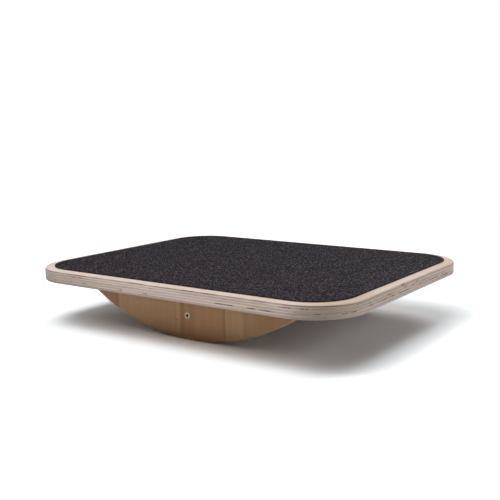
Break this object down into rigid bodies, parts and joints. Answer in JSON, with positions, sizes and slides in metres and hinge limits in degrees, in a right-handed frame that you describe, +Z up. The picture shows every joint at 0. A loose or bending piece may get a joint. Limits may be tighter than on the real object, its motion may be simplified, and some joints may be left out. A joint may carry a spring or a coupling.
{
  "type": "wooden balance board",
  "caption": "Rocker board for balance training: a round-cornered plywood deck with a grip mat on top and two curved wooden rockers joined by a spreader rail beneath.",
  "frame": {"origin": "on the floor under the middle of the board, level with the lowest line of the rockers", "axes": "+X along the long side, the way the board tilts; +Y along the short side, from the front rocker to the back rocker; +Z up"},
  "size_m": [0.4444, 0.343, 0.074],
  "materials": {
    "deck_plywood": "sanded and clear lacquered birch plywood, ply edges bare",
    "grip_mat": "coarse mineral grit on a plastic film",
    "rocker_wood": "satin lacquered face veneer, grain upright",
    "spreader_wood": "sanded hardwood dowel, satin lacquer",
    "screw_steel": "bright plated steel"
  },
  "bodies": {
    "root": {"deck": "deck_plywood", "grip_mat": "grip_mat", "rocker_front": "rocker_wood", "rocker_back": "rocker_wood", "spreader": "spreader_wood", "spreader_screw_front": "screw_steel", "spreader_screw_back": "screw_steel", "deck_screw_front_1": "screw_steel", "deck_screw_front_2": "screw_steel", "deck_screw_front_3": "screw_steel", "deck_screw_front_4": "screw_steel", "deck_screw_back_1": "screw_steel", "deck_screw_back_2": "screw_steel", "deck_screw_back_3": "screw_steel", "deck_screw_back_4": "screw_steel"}
  },
  "joints": []
}
